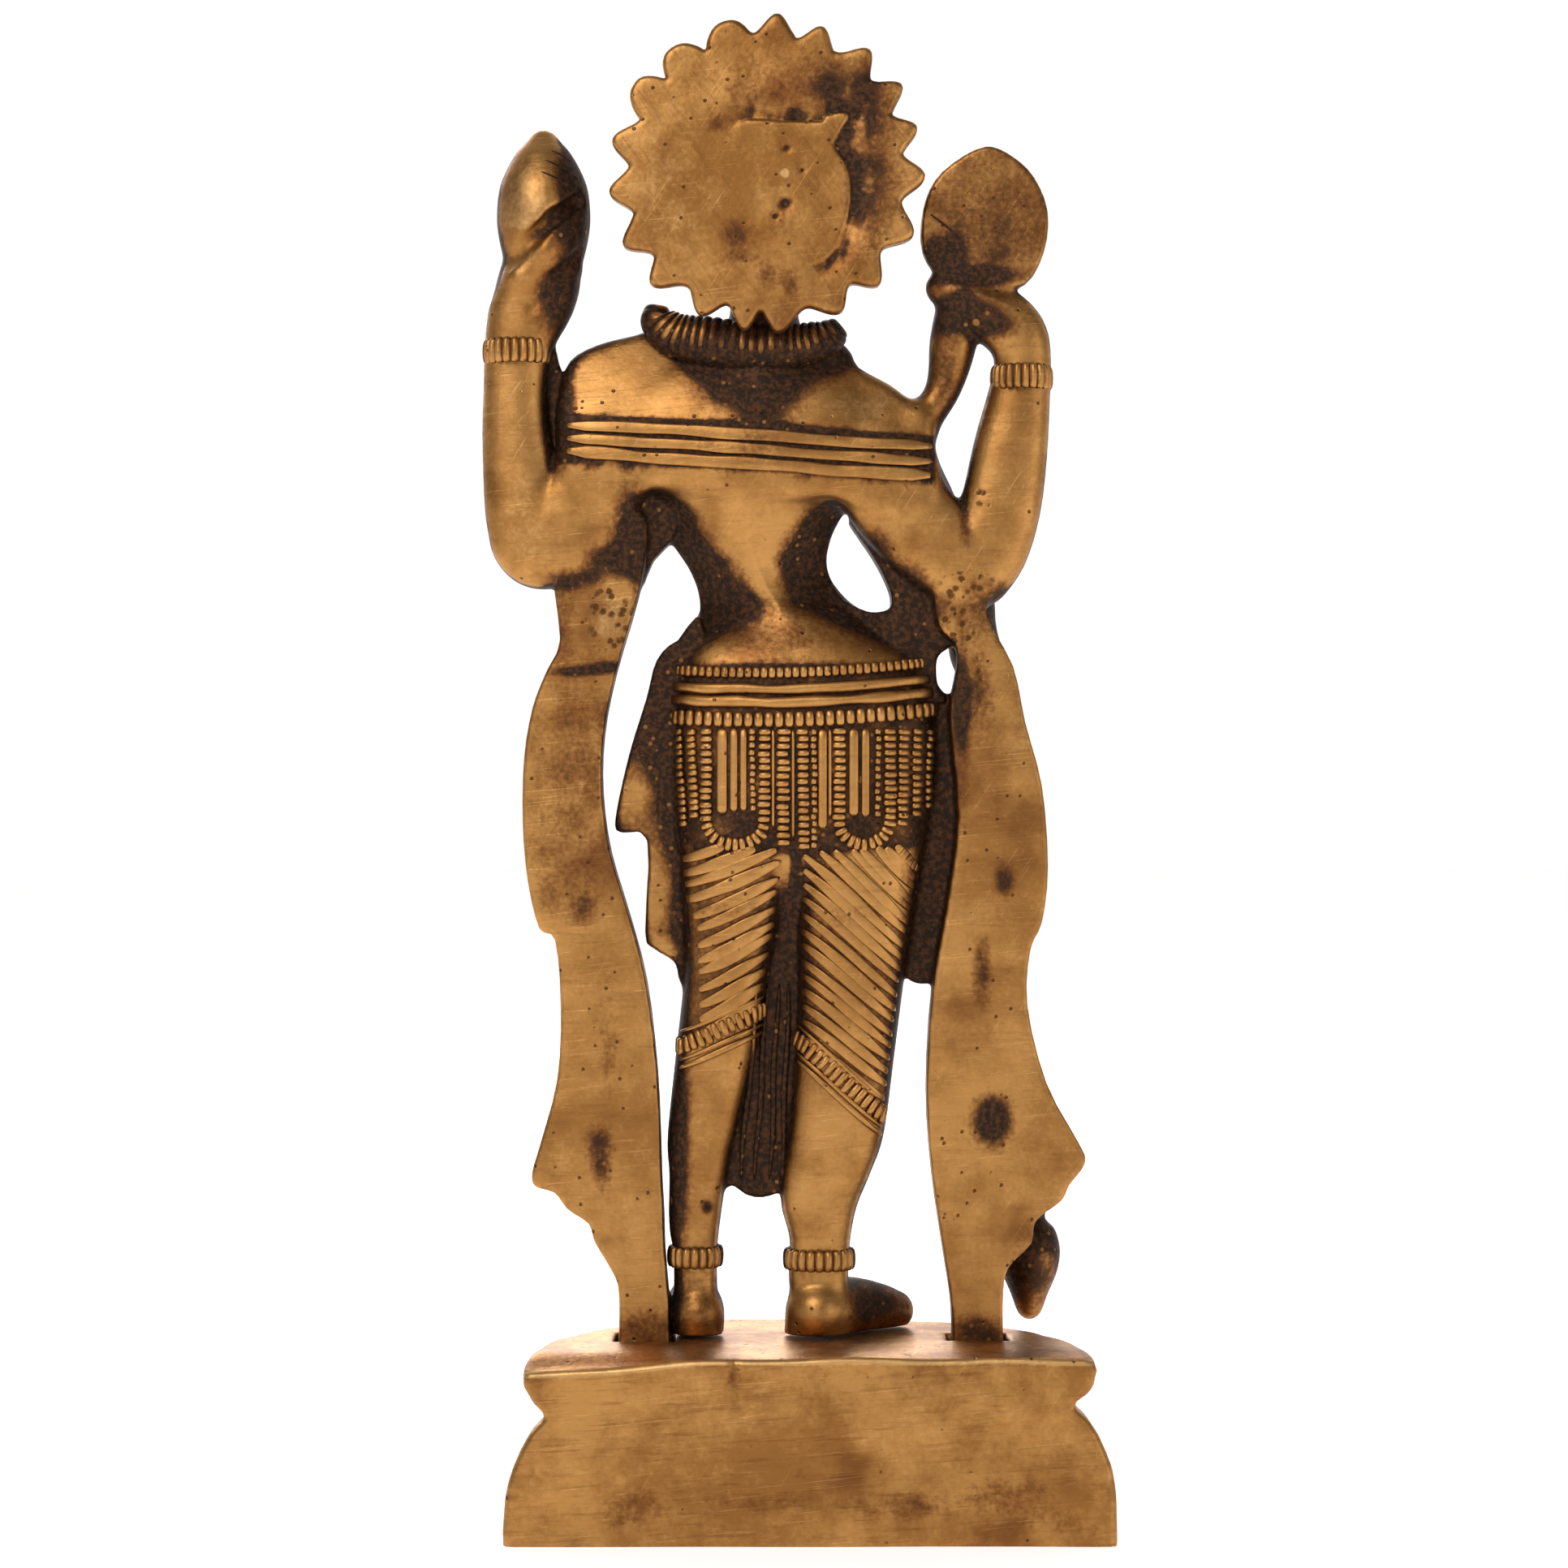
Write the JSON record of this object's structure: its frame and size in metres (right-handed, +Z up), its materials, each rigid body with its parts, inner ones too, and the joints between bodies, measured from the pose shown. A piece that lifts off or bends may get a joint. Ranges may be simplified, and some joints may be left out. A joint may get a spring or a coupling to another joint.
{
  "type": "vishnu statue",
  "caption": "Small cast brass statue of a standing four-armed deity with a toothed halo and scarves, on a flared lotus plinth with a flat back.",
  "frame": {"origin": "centre of the plinth's underside", "axes": "+Z up; the figure faces -Y and its ground back faces +Y; +X is the figure's left"},
  "size_m": [0.0851, 0.038, 0.2048],
  "materials": {
    "figure_brass": "satin ground brass with dark brown patina in the recesses",
    "halo_brass": "satin ground brass with reddish mottling",
    "plinth_brass": "satin brass with fine scratches and dark spots"
  },
  "bodies": {
    "root": {"figure": "figure_brass", "halo": "halo_brass", "plinth": "plinth_brass"}
  },
  "joints": []
}
